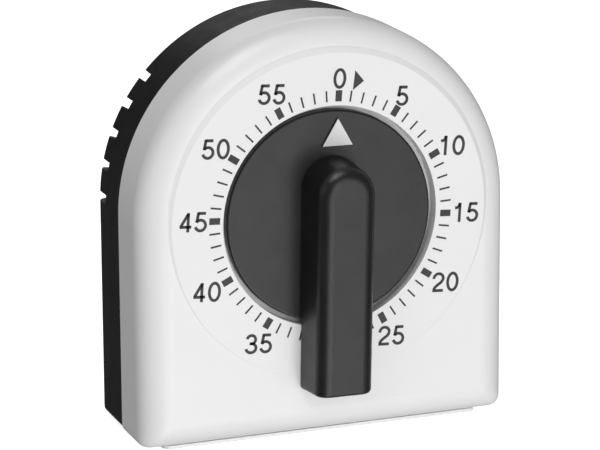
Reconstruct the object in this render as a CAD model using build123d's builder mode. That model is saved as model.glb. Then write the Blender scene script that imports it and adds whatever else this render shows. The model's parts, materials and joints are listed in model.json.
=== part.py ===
"""A clockwork kitchen timer: a white front shell with a large turning knob, a black rear cover, and the
spring-driven movement, escapement and bell inside it.

Millimetres. +Z is up, the dial faces -Y and X runs to the right as seen from the front. The origin is
under the middle of the timer, on the surface it stands on.
"""
from build123d import *
from math import acos, atan2, cos, degrees, hypot, pi, radians, sin
import os

os.makedirs("parts", exist_ok=True)

# Case
CASE_RADIUS = 35.0
CASE_DEPTH = 28.8
SEAM_DEPTH = 14.0
BASE_DROP = 40.5
FOOT_HEIGHT = 0.6
FOOT_SETBACK = 4.0
KNOB_REACH = 8.5
SHELL_WALL = 2.0
COVER_WALL = 1.6
COVER_STEP = 0.7
FACE_ROUNDING = 5.6
CORNER_RADIUS = 1.8
COVER_CORNER = 1.0
REAR_ROUNDING = 2.0
FIELD_RADIUS = 30.6
FIELD_RISE = 0.6
FIELD_SLOPE = 58.0
RECESS_RADIUS = 20.2
RECESS_DEPTH = 2.8
SEAM_GAP = 0.2
LIP_REACH = 1.2
LIP_ROOT = 1.0
LIP_WALL = 0.9

# Knob
DISC_RADIUS = 19.25
DISC_FACE = 0.7
DISC_BACK = 2.5
BAR_WIDTH = 11.4
BAR_TOP = 11.0
BAR_BOTTOM = -31.4
BAR_OFFSET = 0.3
BAR_CLEARANCE = 0.3
BAR_DRAFT = 3.5
BAR_ROUNDING = 2.4
BAR_FOOT_ROUNDING = 0.8
KNOB_TURN = 1.0
ARBOR_RADIUS = 1.5

# Movement plates
FRONT_PLATE = (7.2, 8.2)
BACK_PLATE = (18.8, 19.8)
PLATE_SIZE = (54.0, 52.0)
PLATE_MIDDLE = -5.0
PLATE_CORNER = 6.0
PIVOT_PLAY = 0.05
PIVOT_RADIUS = 0.5
STAFF_RADIUS = 0.4

# Wheel train: wheel teeth, module, pin radius of the lantern pinion, depths of the wheel
PINION_PINS = 8
GREAT = {"teeth": 72, "module": 0.45, "pin": 0.24, "front": 9.0, "back": 9.8}
SECOND = {"teeth": 64, "module": 0.35, "pin": 0.18, "front": 15.4, "back": 16.1}
THIRD = {"teeth": 60, "module": 0.32, "pin": 0.165, "front": 16.8, "back": 17.5}
ESCAPE_TEETH = 20
ESCAPE_RADIUS = 6.0
ESCAPE_DEPTH = (12.6, 13.2)

# Directions from each arbor to the next, in degrees from +X towards +Z
SECOND_DIRECTION = 228.2
THIRD_DIRECTION = -17.8
ESCAPE_DIRECTION = 13.0
BALANCE_DIRECTION = 35.0
BALANCE_REACH = 9.0

# Stop and release
KNOB_TRAVEL = 354.0
STOP_RADIUS = 16.0
STOP_PIN_RADIUS = 0.4
STOP_ANGLE = 300.0
CAM_RADIUS = 9.0
CAM_RISE = 2.0
FOLLOWER_RADIUS = 0.3
FOLLOWER_GAP = 0.1
RELEASE_PIVOT = (-18.0, 8.0)

# Bell and hammer
BELL_CENTRE = (0.0, -4.0)
BELL_RADIUS = 23.0
BELL_WALL = 0.8
BELL_DEPTH = (20.6, 25.0)
HAMMER_PIVOT = (14.0, -12.0)
HAMMER_HEAD = (15.0, 8.6)
HAMMER_HEAD_RADIUS = 2.2
STAR_RADIUS = 3.4

# Fasteners
COVER_SCREWS = [(0.0, 29.5), (-28.5, -34.0), (28.5, -34.0)]
MOVEMENT_SCREWS = [(-17.5, 18.5), (17.5, 18.5), (-25.0, -18.0), (25.0, -18.0)]
PILLARS = [(-22.0, 15.5), (22.0, 15.5), (-23.5, -27.0), (23.5, -27.0)]

DIAL_HEIGHT = BASE_DROP + FOOT_HEIGHT
FACE_Y = KNOB_REACH - (CASE_DEPTH + KNOB_REACH) / 2


def at(depth, turn=0.0):
    """The plane this far behind the dial face, facing forward and turned clockwise about the knob's axis."""
    across = (cos(radians(turn)), 0, -sin(radians(turn)))
    return Plane(origin=(0, FACE_Y + depth, DIAL_HEIGHT), x_dir=across, z_dir=(0, -1, 0))


def polar(radius, angle, centre=(0.0, 0.0)):
    """A point at this distance and direction from a centre."""
    return (centre[0] + radius * cos(radians(angle)), centre[1] + radius * sin(radians(angle)))


def distance(a, b):
    return hypot(b[0] - a[0], b[1] - a[1])


def heading(a, b):
    """The direction from one point to another, in degrees."""
    return degrees(atan2(b[1] - a[1], b[0] - a[0]))


def arch(depth, radius, drop, corner):
    """The case's outline: a half circle over straight sides, with small lower corners."""
    with BuildSketch(at(depth)) as outline:
        with BuildLine():
            Line((-radius, -drop), (-radius, 0))
            CenterArc((0, 0), radius, 180, -180)
            Line((radius, 0), (radius, -drop))
            Line((radius, -drop), (-radius, -drop))
        make_face()
        fillet(outline.vertices().group_by(Axis.Y)[0], corner)
    return outline.sketch


def rod(front, back, radius, centre=(0.0, 0.0), bore=0.0, mode=Mode.ADD):
    """A round length between two depths, with a bore if it has one."""
    with BuildSketch(at(back)) as profile:
        with Locations(centre):
            Circle(radius)
            if bore:
                Circle(bore, mode=Mode.SUBTRACT)
    extrude(profile.sketch, amount=back - front, mode=mode)


def bar(front, back, start, end, width, mode=Mode.ADD):
    """A flat arm with round ends from one point to another."""
    middle = ((start[0] + end[0]) / 2, (start[1] + end[1]) / 2)
    with BuildSketch(at(back)) as profile:
        with Locations(Location((middle[0], middle[1], 0), (0, 0, heading(start, end)))):
            SlotCenterToCenter(distance(start, end), width)
    extrude(profile.sketch, amount=back - front, mode=mode)


def cross(front, back, centre, span, width):
    """A cross-head screw's recess."""
    with BuildSketch(at(back)) as recess:
        with Locations(Location((centre[0], centre[1], 0), (0, 0, 20))):
            Rectangle(span, width)
            Rectangle(width, span)
    extrude(recess.sketch, amount=back - front, mode=Mode.SUBTRACT)


def finish(piece, label):
    """Name a finished piece and write it."""
    piece.part.label = label
    export_step(piece.part, f"parts/{label}.step")


# ---------------------------------------------------------------- train geometry

def pitch_radius(stage):
    return stage["teeth"] * stage["module"] / 2


def pinion_radius(stage):
    return PINION_PINS * stage["module"] / 2


def centre_distance(stage):
    return pitch_radius(stage) + pinion_radius(stage)


MAIN = (0.0, 0.0)
SECOND_AT = polar(centre_distance(GREAT), SECOND_DIRECTION, MAIN)
THIRD_AT = polar(centre_distance(SECOND), THIRD_DIRECTION, SECOND_AT)
ESCAPE_AT = polar(centre_distance(THIRD), ESCAPE_DIRECTION, THIRD_AT)
BALANCE_AT = polar(BALANCE_REACH, BALANCE_DIRECTION, ESCAPE_AT)

TOOTH_PLAY = 0.14
ROOT_PLAY = 0.12
TIP_WIDTH = 0.3
SHOULDER_RISE = 0.35
TIP_RISE = 0.8
SHROUD = 0.45
SHROUD_PLAY = 0.2


def tooth_outline(stage, direction):
    """Corner points of a wheel that has a tooth gap facing its pinion."""
    module = stage["module"]
    pitch_r = pitch_radius(stage)
    step = 360 / stage["teeth"]
    pitch_width = pi * module - 2 * stage["pin"] - TOOTH_PLAY
    stations = [
        (pitch_r - stage["pin"] - ROOT_PLAY, pitch_width * 1.04),
        (pitch_r, pitch_width),
        (pitch_r + SHOULDER_RISE * module, pitch_width * 0.72),
        (pitch_r + TIP_RISE * module, pitch_width * TIP_WIDTH),
    ]
    points = []
    for tooth in range(stage["teeth"]):
        middle = direction + (tooth + 0.5) * step
        for radius, width in stations:
            points.append(polar(radius, middle - degrees(width / 2 / radius)))
        for radius, width in reversed(stations):
            points.append(polar(radius, middle + degrees(width / 2 / radius)))
    return points


SPOKE_WIDTH = 1.3


def toothed_wheel(stage, centre, direction, bore, spokes):
    """A stamped wheel with crossed-out spokes."""
    front, back = stage["front"], stage["back"]
    rim = pitch_radius(stage) - 3.2 * stage["module"]
    hub = rim * 0.3
    with BuildSketch(at(back)) as blank:
        with BuildLine():
            corners = tooth_outline(stage, direction)
            Polyline([(x + centre[0], y + centre[1]) for x, y in corners], close=True)
        make_face()
        with Locations(centre):
            Circle(bore, mode=Mode.SUBTRACT)
    extrude(blank.sketch, amount=back - front)
    half = 180 / spokes
    inner = half - degrees(SPOKE_WIDTH / 2 / hub)
    outer = half - degrees(SPOKE_WIDTH / 2 / rim)
    for spoke in range(spokes):
        turn = 360 / spokes * spoke + half
        with BuildSketch(at(back)) as window:
            with BuildLine():
                low = CenterArc(centre, hub, turn - inner, 2 * inner)
                high = CenterArc(centre, rim, turn - outer, 2 * outer)
                Line(low @ 0, high @ 0)
                Line(low @ 1, high @ 1)
            make_face()
        extrude(window.sketch, amount=back - front, mode=Mode.SUBTRACT)


def lantern_arbor(stage, centre, direction, front, back):
    """An arbor with a lantern pinion astride the wheel that drives it: two end discs joined by pins."""
    pins = pinion_radius(stage)
    shroud = pins + stage["pin"] + 0.15
    rod(front, back, PIVOT_RADIUS, centre)
    rod(stage["front"] - SHROUD_PLAY - SHROUD, stage["front"] - SHROUD_PLAY, shroud, centre)
    rod(stage["back"] + SHROUD_PLAY, stage["back"] + SHROUD_PLAY + SHROUD, shroud, centre)
    pin_front = stage["front"] - SHROUD_PLAY - SHROUD / 2
    pin_back = stage["back"] + SHROUD_PLAY + SHROUD / 2
    for pin in range(PINION_PINS):
        spot = polar(pins, direction + pin * 360 / PINION_PINS, centre)
        rod(pin_front, pin_back, stage["pin"], spot)


# ---------------------------------------------------------------- case

SHELL_BOSS = 3.0
MOVEMENT_BOSS = 2.6
SCREW_RADIUS = 1.1
PILOT_RADIUS = 0.9
BOSS_MEETING = SEAM_DEPTH - LIP_REACH - 0.3
HEAD_RADIUS = 2.2
HEAD_SEAT = 23.0
SLOT_WIDTH = 1.8
SLOT_CUT = 2.4
SLOT_LENGTH = 5.2
SLOT_ANGLES = [139.0, 149.0, 159.0, 169.0, 179.0]

with BuildPart() as front_shell:
    extrude(arch(SEAM_DEPTH, CASE_RADIUS, BASE_DROP, CORNER_RADIUS), amount=SEAM_DEPTH + 1)
    # The front leans back a little, so that the round field stands proud at the top and runs out below.
    lean = degrees(atan2(FIELD_RISE, 2 * FIELD_RADIUS))
    facing = (0, -cos(radians(lean)), sin(radians(lean)))
    front_plane = Plane(origin=(0, FACE_Y, DIAL_HEIGHT - FIELD_RADIUS), x_dir=(1, 0, 0), z_dir=facing)
    split(bisect_by=front_plane, keep=Keep.BOTTOM)
    fillet(front_shell.faces().sort_by(Axis.Y)[0].edges(), FACE_ROUNDING)
    rod(FIELD_RISE, SHELL_WALL, FIELD_RADIUS)
    with BuildSketch(at(FIELD_RISE)) as field:
        Circle(FIELD_RADIUS)
    extrude(field.sketch, amount=FIELD_RISE, taper=FIELD_SLOPE)
    cavity = arch(SEAM_DEPTH, CASE_RADIUS - SHELL_WALL, BASE_DROP - SHELL_WALL, 1.0)
    extrude(cavity, amount=SEAM_DEPTH - FACE_ROUNDING, mode=Mode.SUBTRACT)
    inner = arch(FACE_ROUNDING, CASE_RADIUS - FACE_ROUNDING, BASE_DROP - FACE_ROUNDING, 1.0)
    extrude(inner, amount=FACE_ROUNDING - SHELL_WALL, mode=Mode.SUBTRACT)
    rod(SHELL_WALL, RECESS_DEPTH + SHELL_WALL, RECESS_RADIUS + SHELL_WALL)
    rod(0, RECESS_DEPTH, RECESS_RADIUS, mode=Mode.SUBTRACT)
    rod(RECESS_DEPTH, RECESS_DEPTH + SHELL_WALL, 4.0, mode=Mode.SUBTRACT)
    for place in MOVEMENT_SCREWS:
        rod(SHELL_WALL, FRONT_PLATE[0], MOVEMENT_BOSS, place)
        rod(SHELL_WALL + 1, FRONT_PLATE[0], PILOT_RADIUS, place, mode=Mode.SUBTRACT)
    for place in COVER_SCREWS:
        rod(SHELL_WALL + 0.5, BOSS_MEETING, SHELL_BOSS, place)
        rod(SHELL_WALL + 4, BOSS_MEETING, PILOT_RADIUS, place, mode=Mode.SUBTRACT)
finish(front_shell, "front_shell")

with BuildPart() as rear_cover:
    outer = CASE_RADIUS - COVER_STEP
    drop = BASE_DROP - COVER_STEP
    extrude(arch(CASE_DEPTH, outer, BASE_DROP, COVER_CORNER), amount=CASE_DEPTH - SEAM_DEPTH - SEAM_GAP)
    fillet(rear_cover.faces().sort_by(Axis.Y)[-1].edges(), REAR_ROUNDING)
    hollow = arch(CASE_DEPTH - COVER_WALL, outer - COVER_WALL, drop - COVER_WALL, 1.0)
    extrude(hollow, amount=CASE_DEPTH - COVER_WALL - SEAM_DEPTH - SEAM_GAP, mode=Mode.SUBTRACT)
    collar = arch(SEAM_DEPTH + LIP_ROOT, outer - COVER_WALL, drop - COVER_WALL, 1.0)
    extrude(collar, amount=LIP_ROOT + LIP_REACH)
    throat = arch(SEAM_DEPTH + LIP_ROOT, outer - COVER_WALL - LIP_WALL, drop - COVER_WALL - LIP_WALL, 1.0)
    extrude(throat, amount=LIP_ROOT + LIP_REACH, mode=Mode.SUBTRACT)
    for angle in SLOT_ANGLES + [180 - angle for angle in SLOT_ANGLES]:
        centre = polar(outer - SLOT_CUT / 2 + 1, angle)
        with BuildSketch(at(CASE_DEPTH)) as slot:
            with Locations(Location((centre[0], centre[1], 0), (0, 0, angle))):
                Rectangle(SLOT_CUT + 2, SLOT_WIDTH)
        extrude(slot.sketch, amount=SLOT_LENGTH, mode=Mode.SUBTRACT)
    for place in COVER_SCREWS:
        rod(BOSS_MEETING + SEAM_GAP, CASE_DEPTH - COVER_WALL, SHELL_BOSS, place)
        rod(BOSS_MEETING + SEAM_GAP, CASE_DEPTH, SCREW_RADIUS + 0.1, place, mode=Mode.SUBTRACT)
        rod(HEAD_SEAT, CASE_DEPTH, HEAD_RADIUS + 0.2, place, mode=Mode.SUBTRACT)
finish(rear_cover, "rear_cover")

FOOT_HALF_LENGTH = 30.3
REAR_FOOT_LENGTH = 7.0

with BuildPart() as front_foot:
    with BuildSketch(at(SEAM_DEPTH - 1)) as pad:
        with Locations((0, -BASE_DROP - FOOT_HEIGHT / 2)):
            Rectangle(2 * FOOT_HALF_LENGTH, FOOT_HEIGHT)
    extrude(pad.sketch, amount=SEAM_DEPTH - 1 - FOOT_SETBACK)
    fillet(front_foot.edges().filter_by(Axis.Z), 1.5)
finish(front_foot, "front_foot")

with BuildPart() as rear_foot:
    with BuildSketch(at(CASE_DEPTH - REAR_ROUNDING - 0.5)) as pad:
        with Locations((0, -BASE_DROP - FOOT_HEIGHT / 2)):
            Rectangle(2 * FOOT_HALF_LENGTH - 4, FOOT_HEIGHT)
    extrude(pad.sketch, amount=REAR_FOOT_LENGTH)
    fillet(rear_foot.edges().filter_by(Axis.Z), 1.5)
finish(rear_foot, "rear_foot")

with BuildPart() as cover_screws:
    for place in COVER_SCREWS:
        rod(HEAD_SEAT, HEAD_SEAT + 1.6, HEAD_RADIUS, place)
        rod(BOSS_MEETING, HEAD_SEAT, SCREW_RADIUS, place)
        rod(SHELL_WALL + 5, BOSS_MEETING, PILOT_RADIUS, place)
        cross(HEAD_SEAT + 0.7, HEAD_SEAT + 1.6, place, 2.4, 0.6)
finish(cover_screws, "cover_screws")

# ---------------------------------------------------------------- knob

SOCKET_DEPTH = -5.0
KNOB_BOSS_RADIUS = 3.5
KNOB_BOSS_BACK = 4.9
DISC_EDGE = 0.4
ROOT_DEPTH = DISC_FACE + 0.2
ROOT_RADIUS = DISC_RADIUS - 0.5
POCKET_WIDTH = 7.0
POCKET_TOP = -7.0
POCKET_END = BAR_BOTTOM + 3.0
POCKET_FRONT = -6.7
POCKET_CORNER = 1.5
POINTER_OFFSET = 1.2
POINTER_APEX = 17.8
POINTER_BASE = 12.8
POINTER_HALF = 2.9
POINTER_TOP = 0.2
POINTER_MARGIN = 0.05
MARK_THICKNESS = 0.15


def bar_outline(depth, within=None):
    """The grip's outline, with a round upper end and a square lower one, kept within a circle if asked."""
    half = BAR_WIDTH / 2
    left, right = BAR_OFFSET - half, BAR_OFFSET + half
    with BuildSketch(at(depth, KNOB_TURN)) as outline:
        with BuildLine():
            Line((left, BAR_BOTTOM), (left, BAR_TOP - half))
            CenterArc((BAR_OFFSET, BAR_TOP - half), half, 180, -180)
            Line((right, BAR_TOP - half), (right, BAR_BOTTOM))
            Line((right, BAR_BOTTOM), (left, BAR_BOTTOM))
        make_face()
        if within:
            Circle(within, mode=Mode.INTERSECT)
    return outline.sketch


def triangle(depth, shrink):
    """The pointer's outline, drawn in by an equal margin all round."""
    left = POINTER_OFFSET - POINTER_HALF
    right = POINTER_OFFSET + POINTER_HALF
    with BuildSketch(at(depth, KNOB_TURN)) as outline:
        Polygon((left, POINTER_BASE), (right, POINTER_BASE), (POINTER_OFFSET, POINTER_APEX), align=None)
        if shrink:
            offset(amount=-shrink, kind=Kind.INTERSECTION)
    return outline.sketch


with BuildPart() as knob:
    rod(DISC_FACE, DISC_BACK, DISC_RADIUS)
    fillet(knob.faces().sort_by(Axis.Y)[0].edges(), DISC_EDGE)
    rod(DISC_BACK, KNOB_BOSS_BACK, KNOB_BOSS_RADIUS)
    extrude(bar_outline(-BAR_CLEARANCE), amount=KNOB_REACH - BAR_CLEARANCE, taper=BAR_DRAFT)
    # The sides and the round end are eased broadly, and the square end only a little.
    fillet(knob.faces().sort_by(Axis.Y)[0].edges().sort_by(Axis.Z)[1:], BAR_ROUNDING)
    fillet(knob.faces().sort_by(Axis.Z)[0].edges().sort_by(Axis.Y)[:-1], BAR_FOOT_ROUNDING)
    extrude(bar_outline(ROOT_DEPTH, ROOT_RADIUS), amount=ROOT_DEPTH + BAR_CLEARANCE)
    extrude(triangle(DISC_FACE, 0), amount=DISC_FACE - POINTER_TOP - MARK_THICKNESS)
    rod(SOCKET_DEPTH, KNOB_BOSS_BACK, ARBOR_RADIUS, mode=Mode.SUBTRACT)
    with BuildSketch(at(DISC_BACK, KNOB_TURN)) as pocket:
        with Locations((BAR_OFFSET, (POCKET_TOP + POCKET_END) / 2)):
            RectangleRounded(POCKET_WIDTH, POCKET_TOP - POCKET_END, POCKET_CORNER)
    extrude(pocket.sketch, amount=DISC_BACK - POCKET_FRONT, mode=Mode.SUBTRACT)
finish(knob, "knob")

with BuildPart() as pointer_mark:
    extrude(triangle(POINTER_TOP + MARK_THICKNESS, POINTER_MARGIN), amount=MARK_THICKNESS)
finish(pointer_mark, "pointer_mark")

TAIL_RADIUS = 0.8
COLLAR_RADIUS = 2.8
WASHER_RADIUS = 4.0
CLIP_RADIUS = 3.0
CLIP_PLANE = (6.75, 7.1)

with BuildPart() as main_arbor:
    rod(SOCKET_DEPTH, BACK_PLATE[0] - 0.5, ARBOR_RADIUS)
    rod(BACK_PLATE[0] - 0.5, BACK_PLATE[1], TAIL_RADIUS)
    rod(GREAT["front"] - 0.55, GREAT["front"] - 0.05, COLLAR_RADIUS)
finish(main_arbor, "main_arbor")

with BuildPart() as clutch_washer:
    rod(GREAT["back"] + 0.05, GREAT["back"] + 0.35, WASHER_RADIUS, bore=ARBOR_RADIUS)
finish(clutch_washer, "clutch_washer")

with BuildPart() as arbor_clip:
    rod(*CLIP_PLANE, CLIP_RADIUS, bore=ARBOR_RADIUS)
finish(arbor_clip, "arbor_clip")

# ---------------------------------------------------------------- stop and release

STOP_PLANE = (5.1, 5.7)
CAM_PLANE = (5.9, 6.7)
STOP_HALF_GAP = (360 - KNOB_TRAVEL) / 2
CONTACT_RADIUS = CAM_RADIUS + FOLLOWER_GAP + FOLLOWER_RADIUS
CONTACT_ANGLE = heading(MAIN, RELEASE_PIVOT) - degrees(acos(CONTACT_RADIUS / distance(MAIN, RELEASE_PIVOT)))
CONTACT = polar(CONTACT_RADIUS, CONTACT_ANGLE)
STOP_HUB = 3.0
STOP_ARM_WIDTH = 0.7
RELEASE_ARBOR_RADIUS = 0.8
RELEASE_HUB = 2.0
RELEASE_ARM_WIDTH = 1.0
KNEE_LEAD = 2.5
KNEE_RISE = 1.2

with BuildPart() as stop_arm:
    rod(*STOP_PLANE, STOP_HUB)
    bar(*STOP_PLANE, MAIN, polar(STOP_RADIUS, STOP_ANGLE - STOP_HALF_GAP), STOP_ARM_WIDTH)
    rod(*STOP_PLANE, ARBOR_RADIUS, mode=Mode.SUBTRACT)
finish(stop_arm, "stop_arm")

with BuildPart() as stop_pin:
    rod(STOP_PLANE[0], FRONT_PLATE[1], STOP_PIN_RADIUS, polar(STOP_RADIUS, STOP_ANGLE))
finish(stop_pin, "stop_pin")

with BuildPart() as trip_cam:
    with BuildSketch(at(CAM_PLANE[1])) as snail:
        with BuildLine():
            sweep_angles = [step * KNOB_TRAVEL / 24 for step in range(25)]
            rim = [polar(CAM_RADIUS + CAM_RISE * a / KNOB_TRAVEL, CONTACT_ANGLE + a) for a in sweep_angles]
            low = polar(CAM_RADIUS, CONTACT_ANGLE - STOP_HALF_GAP)
            high = polar(CAM_RADIUS + CAM_RISE, CONTACT_ANGLE - STOP_HALF_GAP)
            Spline(rim)
            Polyline(rim[-1], high, low, rim[0])
        make_face()
    extrude(snail.sketch, amount=CAM_PLANE[1] - CAM_PLANE[0])
    rod(*CAM_PLANE, ARBOR_RADIUS, mode=Mode.SUBTRACT)
finish(trip_cam, "trip_cam")

with BuildPart() as release_lever:
    knee = polar(CONTACT_RADIUS + KNEE_RISE, CONTACT_ANGLE + KNEE_LEAD)
    rod(*CAM_PLANE, RELEASE_HUB, RELEASE_PIVOT)
    bar(*CAM_PLANE, RELEASE_PIVOT, knee, RELEASE_ARM_WIDTH)
    bar(*CAM_PLANE, knee, CONTACT, 2 * FOLLOWER_RADIUS)
    rod(*CAM_PLANE, RELEASE_ARBOR_RADIUS, RELEASE_PIVOT, mode=Mode.SUBTRACT)
finish(release_lever, "release_lever")

with BuildPart() as release_arbor:
    rod(CAM_PLANE[0] - 0.4, BELL_DEPTH[0] - 0.1, RELEASE_ARBOR_RADIUS, RELEASE_PIVOT)
finish(release_arbor, "release_arbor")

FINGER_PLANE = (20.0, 20.4)
FINGER_TIP = (11.2, -1.5)

with BuildPart() as release_finger:
    rod(*FINGER_PLANE, RELEASE_HUB - 0.2, RELEASE_PIVOT)
    bar(*FINGER_PLANE, RELEASE_PIVOT, FINGER_TIP, RELEASE_ARM_WIDTH)
    rod(*FINGER_PLANE, RELEASE_ARBOR_RADIUS, RELEASE_PIVOT, mode=Mode.SUBTRACT)
finish(release_finger, "release_finger")

# ---------------------------------------------------------------- plates, pillars and screws

SCREW_HOLE = 1.2
DRIVER_HOLE = 2.4
SPIGOT_RADIUS = 0.9
PILLAR_RADIUS = 2.0
TAPPING_RADIUS = 0.7
SMALL_HEAD = 1.8


def plate(span, holes):
    """A movement plate with round holes at their places."""
    front, back = span
    with BuildSketch(at(back)) as blank:
        with Locations((0, PLATE_MIDDLE)):
            RectangleRounded(*PLATE_SIZE, PLATE_CORNER)
        for place, radius in holes:
            with Locations(place):
                Circle(radius, mode=Mode.SUBTRACT)
    extrude(blank.sketch, amount=back - front)


SHARED_HOLES = [(place, PIVOT_RADIUS + PIVOT_PLAY) for place in (SECOND_AT, THIRD_AT, ESCAPE_AT)]
SHARED_HOLES += [(BALANCE_AT, STAFF_RADIUS + PIVOT_PLAY)]
SHARED_HOLES += [(RELEASE_PIVOT, RELEASE_ARBOR_RADIUS + PIVOT_PLAY)]
SHARED_HOLES += [(place, SPIGOT_RADIUS) for place in PILLARS]

with BuildPart() as front_plate:
    own_holes = [(MAIN, ARBOR_RADIUS + PIVOT_PLAY), (polar(STOP_RADIUS, STOP_ANGLE), STOP_PIN_RADIUS)]
    plate(FRONT_PLATE, SHARED_HOLES + own_holes + [(place, SCREW_HOLE) for place in MOVEMENT_SCREWS])
finish(front_plate, "front_plate")

with BuildPart() as back_plate:
    driver_holes = [(place, DRIVER_HOLE) for place in MOVEMENT_SCREWS]
    plate(BACK_PLATE, SHARED_HOLES + [(MAIN, TAIL_RADIUS + PIVOT_PLAY)] + driver_holes)
finish(back_plate, "back_plate")

with BuildPart() as plate_pillars:
    for place in PILLARS:
        rod(FRONT_PLATE[1], BACK_PLATE[0], PILLAR_RADIUS, place)
        rod(FRONT_PLATE[0], FRONT_PLATE[1], SPIGOT_RADIUS, place)
        rod(BACK_PLATE[0] - 4, BACK_PLATE[0], TAPPING_RADIUS, place, mode=Mode.SUBTRACT)
finish(plate_pillars, "plate_pillars")

with BuildPart() as pillar_screws:
    for place in PILLARS:
        rod(BACK_PLATE[0] - 3, BACK_PLATE[0], TAPPING_RADIUS, place)
        rod(BACK_PLATE[0], BACK_PLATE[1], SPIGOT_RADIUS, place)
        rod(BACK_PLATE[1], BACK_PLATE[1] + 0.8, SMALL_HEAD, place)
        cross(BACK_PLATE[1] + 0.3, BACK_PLATE[1] + 0.8, place, 2.0, 0.45)
finish(pillar_screws, "pillar_screws")

with BuildPart() as movement_screws:
    for place in MOVEMENT_SCREWS:
        rod(SHELL_WALL + 1.5, FRONT_PLATE[1], PILOT_RADIUS, place)
        rod(FRONT_PLATE[1], FRONT_PLATE[1] + 1.2, SMALL_HEAD, place)
        cross(FRONT_PLATE[1] + 0.5, FRONT_PLATE[1] + 1.2, place, 2.0, 0.45)
finish(movement_screws, "movement_screws")

# ---------------------------------------------------------------- wheel train

with BuildPart() as great_wheel:
    toothed_wheel(GREAT, MAIN, SECOND_DIRECTION, ARBOR_RADIUS + PIVOT_PLAY, 5)
finish(great_wheel, "great_wheel")

with BuildPart() as second_wheel:
    toothed_wheel(SECOND, SECOND_AT, THIRD_DIRECTION, PIVOT_RADIUS, 4)
finish(second_wheel, "second_wheel")

with BuildPart() as second_arbor:
    lantern_arbor(GREAT, SECOND_AT, SECOND_DIRECTION + 180, FRONT_PLATE[0], BACK_PLATE[1])
finish(second_arbor, "second_arbor")

with BuildPart() as third_wheel:
    toothed_wheel(THIRD, THIRD_AT, ESCAPE_DIRECTION, PIVOT_RADIUS, 4)
finish(third_wheel, "third_wheel")

STRIKE_PLANE = (20.9, 21.7)

with BuildPart() as third_arbor:
    lantern_arbor(SECOND, THIRD_AT, THIRD_DIRECTION + 180, FRONT_PLATE[0], STRIKE_PLANE[1] + 0.1)
finish(third_arbor, "third_arbor")

STAR_POINTS = 6

with BuildPart() as strike_star:
    with BuildSketch(at(STRIKE_PLANE[1])) as star:
        with BuildLine():
            corners = []
            for point in range(STAR_POINTS):
                corners.append(polar(STAR_RADIUS, 360 / STAR_POINTS * point, THIRD_AT))
                corners.append(polar(STAR_RADIUS / 2, 360 / STAR_POINTS * (point + 0.5), THIRD_AT))
            Polyline(corners, close=True)
        make_face()
        with Locations(THIRD_AT):
            Circle(PIVOT_RADIUS, mode=Mode.SUBTRACT)
    extrude(star.sketch, amount=STRIKE_PLANE[1] - STRIKE_PLANE[0])
finish(strike_star, "strike_star")

with BuildPart() as escape_wheel:
    with BuildSketch(at(ESCAPE_DEPTH[1])) as teeth:
        with BuildLine():
            corners = []
            for tooth in range(ESCAPE_TEETH):
                lead = 360 / ESCAPE_TEETH * tooth
                corners.append(polar(ESCAPE_RADIUS, lead, ESCAPE_AT))
                corners.append(polar(ESCAPE_RADIUS, lead + 2, ESCAPE_AT))
                corners.append(polar(ESCAPE_RADIUS - 1.3, lead + 7, ESCAPE_AT))
                corners.append(polar(ESCAPE_RADIUS - 1.3, lead + 14, ESCAPE_AT))
            Polyline(corners, close=True)
        make_face()
        with Locations(ESCAPE_AT):
            Circle(PIVOT_RADIUS, mode=Mode.SUBTRACT)
        for window in range(4):
            with Locations(polar(2.7, 90 * window + 45, ESCAPE_AT)):
                Circle(1.2, mode=Mode.SUBTRACT)
    extrude(teeth.sketch, amount=ESCAPE_DEPTH[1] - ESCAPE_DEPTH[0])
finish(escape_wheel, "escape_wheel")

with BuildPart() as escape_arbor:
    lantern_arbor(THIRD, ESCAPE_AT, ESCAPE_DIRECTION + 180, FRONT_PLATE[0], BACK_PLATE[1])
finish(escape_arbor, "escape_arbor")

# ---------------------------------------------------------------- balance

BALANCE_PLANE = (10.2, 11.0)
ANCHOR_PLANE = (11.4, 12.0)
HAIRSPRING_PLANE = (14.2, 15.0)
PALLET_SPREAD = 35.0
PALLET_RADIUS = 7.5
BALANCE_RIM = 6.5


def spiral_strip(span, centre, inner, outer, turns, thickness, end_angle):
    """A flat spring wound in an even spiral, its outer end at this direction."""
    front, back = span
    stations = int(turns * 12)
    with BuildSketch(at(back)) as strip:
        with BuildLine():
            edges = []
            for side in (-0.5, 0.5):
                line = []
                for station in range(stations + 1):
                    share = station / stations
                    radius = inner + (outer - inner) * share + side * thickness
                    line.append(polar(radius, end_angle - 360 * turns * (1 - share), centre))
                edges.append(line)
                Spline(line)
            Line(edges[0][0], edges[1][0])
            Line(edges[0][-1], edges[1][-1])
        make_face()
    extrude(strip.sketch, amount=back - front)


with BuildPart() as balance_wheel:
    rod(*BALANCE_PLANE, BALANCE_RIM, BALANCE_AT, bore=BALANCE_RIM - 1.4)
    for arm in range(3):
        bar(*BALANCE_PLANE, BALANCE_AT, polar(BALANCE_RIM - 1, 120 * arm, BALANCE_AT), 1.0)
    rod(*BALANCE_PLANE, 1.2, BALANCE_AT)
    rod(*BALANCE_PLANE, STAFF_RADIUS, BALANCE_AT, mode=Mode.SUBTRACT)
finish(balance_wheel, "balance_wheel")

with BuildPart() as balance_staff:
    rod(FRONT_PLATE[0], BACK_PLATE[1], STAFF_RADIUS, BALANCE_AT)
    rod(*HAIRSPRING_PLANE, 0.9, BALANCE_AT)
finish(balance_staff, "balance_staff")

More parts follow.
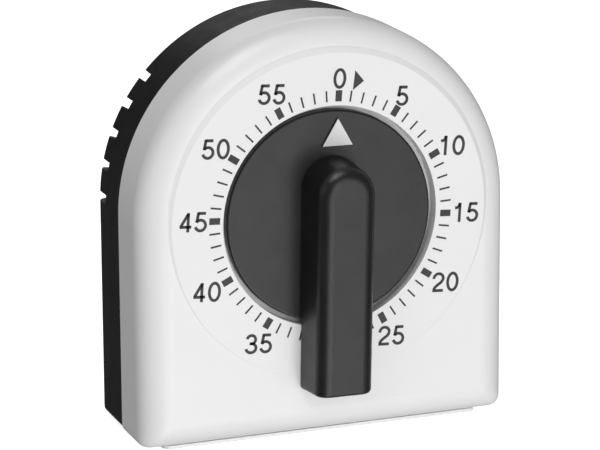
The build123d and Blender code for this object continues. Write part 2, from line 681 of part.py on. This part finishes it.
with BuildPart() as pallet_anchor:
    rod(*ANCHOR_PLANE, 1.2, BALANCE_AT)
    for side in (-1, 1):
        pallet = polar(PALLET_RADIUS, BALANCE_DIRECTION + side * PALLET_SPREAD, ESCAPE_AT)
        bar(*ANCHOR_PLANE, BALANCE_AT, pallet, 1.0)
        rod(ANCHOR_PLANE[0], ESCAPE_DEPTH[1] + 0.3, 0.25, pallet)
    rod(*ANCHOR_PLANE, STAFF_RADIUS, BALANCE_AT, mode=Mode.SUBTRACT)
finish(pallet_anchor, "pallet_anchor")

with BuildPart() as hairspring:
    spiral_strip(HAIRSPRING_PLANE, BALANCE_AT, 0.99, 4.0, 4, 0.12, 0.0)
finish(hairspring, "hairspring")

with BuildPart() as hairspring_stud:
    rod(HAIRSPRING_PLANE[0] - 0.2, BACK_PLATE[0], 0.5, polar(4.6, 0.0, BALANCE_AT))
finish(hairspring_stud, "hairspring_stud")

# ---------------------------------------------------------------- mainspring

MAINSPRING_PLANE = (10.8, 14.6)

with BuildPart() as mainspring:
    spiral_strip(MAINSPRING_PLANE, MAIN, ARBOR_RADIUS + 0.17, 11.0, 6, 0.3, 90.0)
finish(mainspring, "mainspring")

with BuildPart() as spring_post:
    rod(MAINSPRING_PLANE[0] - 0.2, BACK_PLATE[0], 0.6, polar(11.8, 90.0))
finish(spring_post, "spring_post")

# ---------------------------------------------------------------- bell and hammer

BELL_ROUNDING = 2.0
STUD_RADIUS = 0.8
PIN_REACH = 11.0
TAIL_WIDTH = 1.4
TAIL_GAP = 0.3
HEAD_BACK = 23.0

with BuildPart() as bell:
    rod(*BELL_DEPTH, BELL_RADIUS, BELL_CENTRE)
    fillet(bell.faces().sort_by(Axis.Y)[-1].edges(), BELL_ROUNDING)
    offset(amount=-BELL_WALL, openings=bell.faces().sort_by(Axis.Y)[0])
    rod(*BELL_DEPTH, 1.1, BELL_CENTRE, mode=Mode.SUBTRACT)
finish(bell, "bell")

with BuildPart() as bell_post:
    rod(BACK_PLATE[1], BELL_DEPTH[1] - BELL_WALL, 1.8, BELL_CENTRE)
    rod(BACK_PLATE[1] + 1, BELL_DEPTH[1] - BELL_WALL, 1.0, BELL_CENTRE, mode=Mode.SUBTRACT)
finish(bell_post, "bell_post")

with BuildPart() as bell_screw:
    rod(BACK_PLATE[1] + 1.5, BELL_DEPTH[1], 1.0, BELL_CENTRE)
    rod(BELL_DEPTH[1], BELL_DEPTH[1] + 0.6, 2.4, BELL_CENTRE)
    cross(BELL_DEPTH[1] + 0.2, BELL_DEPTH[1] + 0.6, BELL_CENTRE, 2.4, 0.5)
finish(bell_screw, "bell_screw")

HAMMER_DIRECTION = heading(HAMMER_PIVOT, HAMMER_HEAD)
HAMMER_PIN = polar(PIN_REACH, HAMMER_DIRECTION, HAMMER_PIVOT)
TAIL_TIP = polar(STAR_RADIUS + TAIL_GAP + TAIL_WIDTH / 2, heading(THIRD_AT, HAMMER_PIVOT), THIRD_AT)

with BuildPart() as hammer_stud:
    rod(BACK_PLATE[1], STRIKE_PLANE[1] + 0.9, STUD_RADIUS, HAMMER_PIVOT)
finish(hammer_stud, "hammer_stud")

with BuildPart() as hammer_arm:
    rod(STRIKE_PLANE[0], STRIKE_PLANE[1] + 0.4, 1.8, HAMMER_PIVOT)
    bar(*STRIKE_PLANE, HAMMER_PIVOT, HAMMER_HEAD, 1.6)
    bar(*STRIKE_PLANE, HAMMER_PIVOT, TAIL_TIP, TAIL_WIDTH)
    rod(FINGER_PLANE[0], STRIKE_PLANE[0], 0.5, HAMMER_PIN)
    rod(STRIKE_PLANE[0], STRIKE_PLANE[1] + 0.4, STUD_RADIUS + PIVOT_PLAY, HAMMER_PIVOT, mode=Mode.SUBTRACT)
finish(hammer_arm, "hammer_arm")

with BuildPart() as hammer_head:
    rod(STRIKE_PLANE[1], HEAD_BACK, HAMMER_HEAD_RADIUS, HAMMER_HEAD)
finish(hammer_head, "hammer_head")

SPRING_ANCHOR = polar(6.0, 200.0, HAMMER_PIVOT)
LEG_PLANE = (20.2, 20.5)

with BuildPart() as hammer_spring:
    rod(BACK_PLATE[1] + 0.1, STRIKE_PLANE[0] - 0.1, 1.5, HAMMER_PIVOT, bore=1.0)
    bar(*LEG_PLANE, polar(1.3, 180, HAMMER_PIVOT), polar(0.8, 160, HAMMER_PIN), 0.3)
    bar(*LEG_PLANE, polar(1.3, 260, HAMMER_PIVOT), polar(0.7, 250, SPRING_ANCHOR), 0.3)
finish(hammer_spring, "hammer_spring")

with BuildPart() as spring_anchor:
    rod(BACK_PLATE[1], STRIKE_PLANE[0] - 0.1, 0.5, SPRING_ANCHOR)
finish(spring_anchor, "spring_anchor")
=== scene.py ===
"""The looks of a clockwork kitchen timer: a glossy white front shell with a printed minute scale, a black
rear cover, a grained black knob, and the steel and brass movement inside."""
import json
from math import cos, radians, sin

import bpy
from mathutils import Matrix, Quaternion, Vector


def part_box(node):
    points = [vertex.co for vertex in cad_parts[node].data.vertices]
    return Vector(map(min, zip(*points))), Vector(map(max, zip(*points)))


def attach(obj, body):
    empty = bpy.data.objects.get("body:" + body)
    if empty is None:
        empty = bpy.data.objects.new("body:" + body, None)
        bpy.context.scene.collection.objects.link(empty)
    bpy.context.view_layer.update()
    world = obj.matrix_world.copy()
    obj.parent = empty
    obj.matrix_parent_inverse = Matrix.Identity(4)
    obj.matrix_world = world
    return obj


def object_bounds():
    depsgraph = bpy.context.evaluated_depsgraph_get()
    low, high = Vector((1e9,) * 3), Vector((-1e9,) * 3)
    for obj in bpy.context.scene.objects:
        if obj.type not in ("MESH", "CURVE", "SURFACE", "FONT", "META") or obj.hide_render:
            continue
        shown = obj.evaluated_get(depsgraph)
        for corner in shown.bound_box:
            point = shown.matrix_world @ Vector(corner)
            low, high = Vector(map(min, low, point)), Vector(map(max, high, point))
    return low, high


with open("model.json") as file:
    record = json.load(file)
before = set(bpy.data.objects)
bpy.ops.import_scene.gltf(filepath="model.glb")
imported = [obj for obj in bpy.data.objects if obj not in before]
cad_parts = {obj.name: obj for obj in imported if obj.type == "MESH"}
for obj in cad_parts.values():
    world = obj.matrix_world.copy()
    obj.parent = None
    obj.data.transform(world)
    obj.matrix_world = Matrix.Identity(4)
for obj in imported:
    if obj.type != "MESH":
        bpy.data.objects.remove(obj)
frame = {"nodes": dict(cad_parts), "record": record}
CAD_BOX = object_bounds()
NODES = frame["nodes"]

# ---------------------------------------------------------------- driving sizes, in metres

MM = 0.001
SHELL_LOW, SHELL_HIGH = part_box("front_shell")
CASE_RADIUS = (SHELL_HIGH.x - SHELL_LOW.x) / 2
KNOB_REACH = 8.5 * MM
DIAL = Vector((0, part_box("knob")[0].y + KNOB_REACH, SHELL_HIGH.z - CASE_RADIUS))

# The printed scale stands a little turned on the case.
MINUTES = 60
MINUTE_STEP = 6
MAJOR_EVERY = 5
PRINT_TURN = radians(3.55)
PRINT_RISE = 0.03 * MM
PRINT_SINK = 0.02 * MM
TICK_INNER = 20.95 * MM
TICK_OUTER = 22.95 * MM
MAJOR_WIDTH = 1.2 * MM
MINOR_WIDTH = 0.32 * MM
DIGIT_HEIGHT = 3.55 * MM
DIGIT_CELL = 0.67
DIGIT_ADVANCE = 0.775
DIGIT_STROKE = 0.152
PAIR_RADIUS = 25.9 * MM
SINGLE_RADIUS = 25.05 * MM
ARROW_CENTRE = (3.35 * MM, 24.65 * MM)
ARROW_LENGTH = 1.90 * MM
ARROW_HALF = 1.78 * MM
ARROW_TILT = radians(4)
PRINT_SHIFT = (0.15 * MM, -0.05 * MM)
# The artwork sets some numbers a little off their own ray, right and up counted positive.
NUMBER_SHIFT = {
    5: Vector((-0.40, 0.05)) * MM,
    10: Vector((-0.20, -0.50)) * MM,
    20: Vector((0.45, 0.05)) * MM,
    35: Vector((0.40, -0.30)) * MM,
    40: Vector((-0.30, 0.20)) * MM,
    55: Vector((0.40, 0.00)) * MM,
}


# ---------------------------------------------------------------- materials

# Pattern sizes in cycles per metre, and the middle of a noise pattern's range.
CLOUD_SCALE = 90
POLISH_SCALE = 260
WAVE_SCALE = 45
TARNISH_SCALE = 160
PATTERN_LOW, PATTERN_HIGH = 0.3, 0.7


def new_material(name):
    """An empty node material with its shader and its coordinates."""
    material = bpy.data.materials.new(name)
    material.use_nodes = True
    tree = material.node_tree
    shader = tree.nodes["Principled BSDF"]
    place = tree.nodes.new("ShaderNodeTexCoord")
    return material, tree, shader, place.outputs["Object"]


def noise(tree, coordinates, scale, detail=3.0, roughness=0.5, stretch=None):
    """A noise pattern, in cycles per metre, drawn out along an axis if asked."""
    pattern = tree.nodes.new("ShaderNodeTexNoise")
    pattern.inputs["Scale"].default_value = scale
    pattern.inputs["Detail"].default_value = detail
    pattern.inputs["Roughness"].default_value = roughness
    if stretch:
        mapping = tree.nodes.new("ShaderNodeMapping")
        mapping.inputs["Scale"].default_value = stretch
        tree.links.new(coordinates, mapping.inputs["Vector"])
        coordinates = mapping.outputs["Vector"]
    tree.links.new(coordinates, pattern.inputs["Vector"])
    return pattern.outputs["Fac"]


def spread(tree, value, low, high):
    """The pattern's middle half mapped onto a range."""
    ramp = tree.nodes.new("ShaderNodeMapRange")
    ramp.inputs["From Min"].default_value = PATTERN_LOW
    ramp.inputs["From Max"].default_value = PATTERN_HIGH
    ramp.inputs["To Min"].default_value = low
    ramp.inputs["To Max"].default_value = high
    tree.links.new(value, ramp.inputs["Value"])
    return ramp.outputs["Result"]


def tint(tree, value, dark, light):
    """The pattern's middle half mapped onto two colours."""
    mix = tree.nodes.new("ShaderNodeMix")
    mix.data_type = "RGBA"
    mix.inputs["A"].default_value = (*dark, 1)
    mix.inputs["B"].default_value = (*light, 1)
    tree.links.new(spread(tree, value, 0.0, 1.0), mix.inputs["Factor"])
    return mix.outputs["Result"]


def bump(tree, height, distance, strength, under=None):
    """A bump of this height in metres, over another if given."""
    node = tree.nodes.new("ShaderNodeBump")
    node.inputs["Distance"].default_value = distance
    node.inputs["Strength"].default_value = strength
    tree.links.new(height, node.inputs["Height"])
    if under:
        tree.links.new(under, node.inputs["Normal"])
    return node.outputs["Normal"]


def grey(level):
    return (level, level, level)


def moulded_plastic(name, dark, light, rough, grain_scale, grain_depth, specular=0.5, wave_depth=0.0):
    """Injection-moulded plastic: a little cloudiness, a tool grain and a faint flow waviness."""
    material, tree, shader, place = new_material(name)
    cloud = noise(tree, place, CLOUD_SCALE, 4)
    grain = noise(tree, place, grain_scale, 2, 0.6)
    tree.links.new(tint(tree, cloud, dark, light), shader.inputs["Base Color"])
    tree.links.new(spread(tree, noise(tree, place, POLISH_SCALE, 3), *rough), shader.inputs["Roughness"])
    normal = bump(tree, grain, grain_depth, 1.0)
    if wave_depth:
        normal = bump(tree, noise(tree, place, WAVE_SCALE, 1), wave_depth, 1.0, normal)
    tree.links.new(normal, shader.inputs["Normal"])
    shader.inputs["Specular IOR Level"].default_value = specular
    return material


def worked_metal(name, dark, light, rough, stretch=(1, 1, 1), scale=900, depth=1.5e-6):
    """Stamped or turned metal: fine directional scratches, tarnish and uneven polish."""
    material, tree, shader, place = new_material(name)
    shader.inputs["Metallic"].default_value = 1.0
    cloud = noise(tree, place, TARNISH_SCALE, 4)
    scratches = noise(tree, place, scale, 2, 0.6, stretch)
    tree.links.new(tint(tree, cloud, dark, light), shader.inputs["Base Color"])
    tree.links.new(spread(tree, scratches, *rough), shader.inputs["Roughness"])
    tree.links.new(bump(tree, scratches, depth, 0.6), shader.inputs["Normal"])
    return material


WHITE_SHELL = moulded_plastic("white_shell_plastic", grey(0.855), grey(0.870), (0.30, 0.34), 2600, 0.8e-6,
                              wave_depth=6e-6)
BLACK_COVER = moulded_plastic("black_cover_plastic", grey(0.002), grey(0.005), (0.46, 0.54), 3800, 7e-6, 0.20)
BLACK_KNOB = moulded_plastic("black_knob_plastic", grey(0.003), grey(0.009), (0.34, 0.41), 2800, 20e-6)
SCALE_INK = moulded_plastic("scale_ink", grey(0.018), grey(0.028), (0.42, 0.55), 3000, 1e-6)
POINTER_INK = moulded_plastic("pointer_ink", grey(0.80), grey(0.86), (0.40, 0.50), 3000, 2e-6)
FOOT_RUBBER = moulded_plastic("foot_rubber", grey(0.018), grey(0.03), (0.70, 0.85), 2200, 8e-6, 0.3)
BRASS = worked_metal("stamped_brass", (0.62, 0.43, 0.17), (0.80, 0.60, 0.28), (0.22, 0.40), (1, 1, 6))
PLATE_STEEL = worked_metal("plated_sheet_steel", grey(0.52), grey(0.66), (0.25, 0.42), (1, 1, 8))
ARBOR_STEEL = worked_metal("turned_steel", grey(0.44), grey(0.58), (0.16, 0.30), (1, 12, 1))
ZINC_SCREW = worked_metal("zinc_screw_steel", (0.58, 0.60, 0.64), (0.70, 0.71, 0.73), (0.22, 0.38))
SPRING_STEEL = worked_metal("blued_spring_steel", (0.16, 0.18, 0.24), (0.30, 0.32, 0.36), (0.2, 0.34))
BELL_NICKEL = worked_metal("nickel_plate", (0.66, 0.64, 0.58), (0.76, 0.74, 0.70), (0.08, 0.18), scale=500)

SLOT_FINISHES = {
    "white_plastic": WHITE_SHELL,
    "black_plastic": BLACK_COVER,
    "knob_plastic": BLACK_KNOB,
    "white_print": POINTER_INK,
    "foot_rubber": FOOT_RUBBER,
    "brass": BRASS,
    "plate_steel": PLATE_STEEL,
    "arbor_steel": ARBOR_STEEL,
    "zinc_steel": ZINC_SCREW,
    "spring_steel": SPRING_STEEL,
    "nickel": BELL_NICKEL,
}

for part in frame["record"]["subparts"]:
    node = NODES[part["node"]]
    for slot in node.material_slots:
        slot.material = SLOT_FINISHES[part["material_slot"]]


# ---------------------------------------------------------------- shaping helpers

def clear_selection():
    bpy.ops.object.select_all(action="DESELECT")


def settle(piece, name, material):
    """Name a piece, apply its place and give it its finish."""
    clear_selection()
    piece.select_set(True)
    bpy.context.view_layer.objects.active = piece
    bpy.ops.object.transform_apply(location=True, rotation=True, scale=True)
    piece.name = name
    piece.data.name = name
    piece.data.materials.clear()
    piece.data.materials.append(material)
    return piece


def join(pieces, name, material):
    """Make one piece of several."""
    clear_selection()
    for piece in pieces:
        piece.select_set(True)
    bpy.context.view_layer.objects.active = pieces[0]
    if len(pieces) > 1:
        bpy.ops.object.join()
    return settle(pieces[0], name, material)


def onto_dial(x, z, depth=0.0):
    """A point this far right and up from the knob's axis, behind the dial face by the depth."""
    return Vector((DIAL.x + x, DIAL.y + depth, DIAL.z + z))


# ---------------------------------------------------------------- printed scale

def turned(x, z, angle):
    """A point on the dial turned clockwise by an angle."""
    return (x * cos(angle) + z * sin(angle), -x * sin(angle) + z * cos(angle))


def ink_plate(outline, name):
    """A closed flat piece of ink from its outline on the dial, facing forward."""
    clear_selection()
    bpy.ops.mesh.primitive_circle_add(vertices=len(outline), radius=1, fill_type="NGON", location=(0, 0, 0))
    plate = bpy.context.object
    for vertex, (x, z) in zip(plate.data.vertices, outline):
        vertex.co = onto_dial(x, z, PRINT_SINK)
    bpy.ops.object.mode_set(mode="EDIT")
    bpy.ops.mesh.select_all(action="SELECT")
    bpy.ops.mesh.extrude_region_move(TRANSFORM_OT_translate={"value": (0, -PRINT_RISE - PRINT_SINK, 0)})
    bpy.ops.mesh.select_all(action="SELECT")
    bpy.ops.mesh.normals_make_consistent(inside=False)
    bpy.ops.object.mode_set(mode="OBJECT")
    plate.name = name
    return plate


def arc(centre, radii, start, end, steps):
    """Points round an ellipse, angles in degrees from the right towards the top."""
    points = []
    for step in range(steps + 1):
        angle = radians(start + (end - start) * step / steps)
        points.append((centre[0] + radii[0] * cos(angle), centre[1] + radii[1] * sin(angle)))
    return points


# Each digit is drawn by its strokes' middle lines in a cell one unit high.
DIGIT_STROKES = {
    "0": [arc((0.34, 0.5), (0.265, 0.445), 88, 272, 24), arc((0.34, 0.5), (0.265, 0.445), -92, 92, 24)],
    "1": [[(0.40, 0.0), (0.40, 1.0)], [(0.13, 0.735), (0.27, 0.765), (0.35, 0.84), (0.385, 0.99)]],
    "2": [
        arc((0.335, 0.70), (0.255, 0.245), 185, -28, 18)
        + [(0.47, 0.475), (0.31, 0.36), (0.17, 0.24), (0.10, 0.11)],
        [(0.035, 0.056), (0.615, 0.056)],
    ],
    "3": [
        arc((0.325, 0.725), (0.225, 0.22), 170, -70, 18) + [(0.30, 0.52)],
        [(0.24, 0.52), (0.33, 0.52)] + arc((0.325, 0.285), (0.265, 0.235), 70, -172, 20),
    ],
    "4": [[(0.455, 0.0), (0.455, 0.98)], [(0.455, 0.93), (0.085, 0.30)], [(0.02, 0.262), (0.63, 0.262)]],
    "5": [
        [(0.585, 0.935), (0.17, 0.935)],
        [(0.205, 0.985), (0.125, 0.475)],
        arc((0.325, 0.325), (0.265, 0.27), 142, -165, 22),
    ],
}


def stroke_outline(line, width):
    """The outline of a stroke of even width along its middle line."""
    left, right = [], []
    for index, (x, z) in enumerate(line):
        before = Vector(line[max(index - 1, 0)])
        after = Vector(line[min(index + 1, len(line) - 1)])
        along = (after - before).normalized()
        side = Vector((-along.y, along.x)) * width / 2
        left.append((x + side.x, z + side.y))
        right.append((x - side.x, z - side.y))
    return left + right[::-1]


def digit_master(digit):
    """One digit as a piece of ink at the dial's centre, from which every like digit is copied."""
    strokes = []
    for line in DIGIT_STROKES[digit]:
        outline = []
        for x, z in stroke_outline(line, DIGIT_STROKE):
            outline.append(((x - DIGIT_CELL / 2) * DIGIT_HEIGHT, (z - 0.5) * DIGIT_HEIGHT))
        strokes.append(ink_plate(outline, "stroke"))
    return join(strokes, "digit_" + digit, SCALE_INK)


def tick_master(width, name):
    """One tick as a piece of ink at the nought, from which every like tick is copied."""
    half = width / 2
    return ink_plate([(-half, TICK_INNER), (half, TICK_INNER), (half, TICK_OUTER), (-half, TICK_OUTER)], name)


def printed_copy(master, x, z, angle):
    """A copy of a piece of ink with its own mesh, turned clockwise about the dial's centre and then moved."""
    piece = master.copy()
    piece.data = master.data.copy()
    bpy.context.scene.collection.objects.link(piece)
    clear_selection()
    piece.select_set(True)
    bpy.context.view_layer.objects.active = piece
    bpy.ops.transform.rotate(value=-angle, orient_axis="Y", orient_type="GLOBAL", center_override=DIAL)
    piece.location += Vector((x + PRINT_SHIFT[0], 0, z + PRINT_SHIFT[1]))
    return piece


def number_pieces(masters, minute):
    """A minute number standing outside its tick."""
    text = str(minute)
    reach = PAIR_RADIUS if len(text) == 2 else SINGLE_RADIUS
    centre = Vector(turned(0, reach, radians(MINUTE_STEP * minute) + PRINT_TURN))
    centre += NUMBER_SHIFT.get(minute, Vector((0, 0)))
    pieces = []
    for position, digit in enumerate(text):
        offset = (position - (len(text) - 1) / 2) * DIGIT_ADVANCE * DIGIT_HEIGHT
        across, up = turned(offset, 0, PRINT_TURN)
        pieces.append(printed_copy(masters[digit], centre[0] + across, centre[1] + up, PRINT_TURN))
    return pieces


def print_scale():
    """The sixty ticks, the minute numbers and the arrow that shows which way to turn."""
    major = tick_master(MAJOR_WIDTH, "five_minute_tick")
    minor = tick_master(MINOR_WIDTH, "minute_tick")
    digits = {digit: digit_master(digit) for digit in DIGIT_STROKES}
    back, front = -ARROW_LENGTH / 3, 2 * ARROW_LENGTH / 3
    arrow = ink_plate([(back, -ARROW_HALF), (front, 0), (back, ARROW_HALF)], "arrow")
    steps = [radians(MINUTE_STEP * minute) + PRINT_TURN for minute in range(MINUTES)]
    numbers = []
    for minute in range(0, MINUTES, MAJOR_EVERY):
        numbers += number_pieces(digits, minute)
    minor_steps = [step for minute, step in enumerate(steps) if minute % MAJOR_EVERY]
    groups = {
        "scale_five_minute_ticks": [printed_copy(major, 0, 0, step) for step in steps[::MAJOR_EVERY]],
        "scale_minute_ticks": [printed_copy(minor, 0, 0, step) for step in minor_steps],
        "scale_numbers": numbers,
        "scale_arrow": [printed_copy(arrow, *turned(*ARROW_CENTRE, PRINT_TURN), PRINT_TURN + ARROW_TILT)],
    }
    for master in (major, minor, arrow, *digits.values()):
        bpy.data.objects.remove(master)
    for name, pieces in groups.items():
        piece = join(pieces, name, SCALE_INK)
        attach(piece, "case")


print_scale()


# ---------------------------------------------------------------- floor, light and camera

FLOOR_SIZE = 6
FLOOR_GLOW = 0.8
WORLD_STRENGTH = 0.18
LIGHTS_AIM = Vector((0, 0, 0.04))
CAMERA_AZIMUTH = radians(20.754)
CAMERA_ELEVATION = radians(15.102)
CAMERA_ROLL = radians(-0.18)
CAMERA_TARGET = (-5.15 * MM, -0.16 * MM)
CAMERA_DISTANCE = 550.08 * MM
CAMERA_LENS = 186.97
CAMERA_SHIFT = (-0.0061, -0.00735)
SENSOR_WIDTH = 36


def soft_panel(name, position, size, power):
    """A soft rectangular light aimed at the timer."""
    data = bpy.data.lights.new(name, "AREA")
    data.shape = "RECTANGLE"
    data.size, data.size_y = size
    data.energy = power
    lamp = bpy.data.objects.new(name, data)
    lamp.location = position
    lamp.rotation_euler = (LIGHTS_AIM - Vector(position)).to_track_quat("-Z", "Y").to_euler()
    lamp.visible_camera = False
    bpy.context.scene.collection.objects.link(lamp)


def studio():
    """A plain white floor and soft panels: broad ones in front, above and at the left, low ones that fill the
    timer's underside as a white table would, and one at the right that the dark knob reflects. The floor
    itself neither shades nor tints the timer."""
    clear_selection()
    ground = (0, 1, CAD_BOX[0].z)
    bpy.ops.mesh.primitive_grid_add(x_subdivisions=8, y_subdivisions=8, size=FLOOR_SIZE, location=ground)
    floor = bpy.context.object
    material, tree, shader, place = new_material("pale_floor")
    tree.links.new(tint(tree, noise(tree, place, 3, 2), grey(0.90), grey(0.92)), shader.inputs["Base Color"])
    shader.inputs["Roughness"].default_value = 0.9
    shader.inputs["Specular IOR Level"].default_value = 0.1
    shader.inputs["Emission Color"].default_value = (1, 1, 1, 1)
    shader.inputs["Emission Strength"].default_value = FLOOR_GLOW
    settle(floor, "studio_floor", material)
    floor.visible_diffuse = False
    floor.visible_glossy = False
    floor.visible_shadow = False
    soft_panel("front_panel", (0, -2.6, 0.4), (1.6, 1.6), 15)
    soft_panel("high_panel", (-0.8, -0.6, 2.5), (1.6, 1.6), 32.5)
    soft_panel("left_panel", (-2.5, -0.3, 0.8), (1.2, 1.2), 2.5)
    soft_panel("under_panel", (0, -1.9, -1.2), (1.6, 1.2), 23.5)
    soft_panel("low_panel", (0.3, -0.9, -1.7), (1.6, 1.2), 3.7)
    soft_panel("knob_panel", (0.50, -1.09, -0.10), (0.7, 0.5), 1.45)
    soft_panel("back_panel", (0.5, 2.2, 1.3), (1.4, 1.0), 5)
    world = bpy.data.worlds.new("surround")
    world.use_nodes = True
    sky = world.node_tree.nodes["Background"]
    sky.inputs["Color"].default_value = (1, 1, 1, 1)
    sky.inputs["Strength"].default_value = WORLD_STRENGTH
    bpy.context.scene.world = world


def aim_camera():
    """The camera stands to the left of the dial and above it."""
    level = cos(CAMERA_ELEVATION)
    forward = Vector((sin(CAMERA_AZIMUTH) * level, cos(CAMERA_AZIMUTH) * level, -sin(CAMERA_ELEVATION)))
    target = onto_dial(*CAMERA_TARGET)
    data = bpy.data.cameras.new("camera")
    data.sensor_width = SENSOR_WIDTH
    data.lens = CAMERA_LENS
    data.shift_x, data.shift_y = CAMERA_SHIFT
    data.clip_start, data.clip_end = 0.01, 20
    camera = bpy.data.objects.new("camera", data)
    camera.location = target - forward * CAMERA_DISTANCE
    camera.rotation_mode = "QUATERNION"
    camera.rotation_quaternion = forward.to_track_quat("-Z", "Y") @ Quaternion((0, 0, 1), CAMERA_ROLL)
    bpy.context.scene.collection.objects.link(camera)
    bpy.context.scene.camera = camera


studio()
aim_camera()
bpy.context.scene.view_settings.view_transform = "Standard"
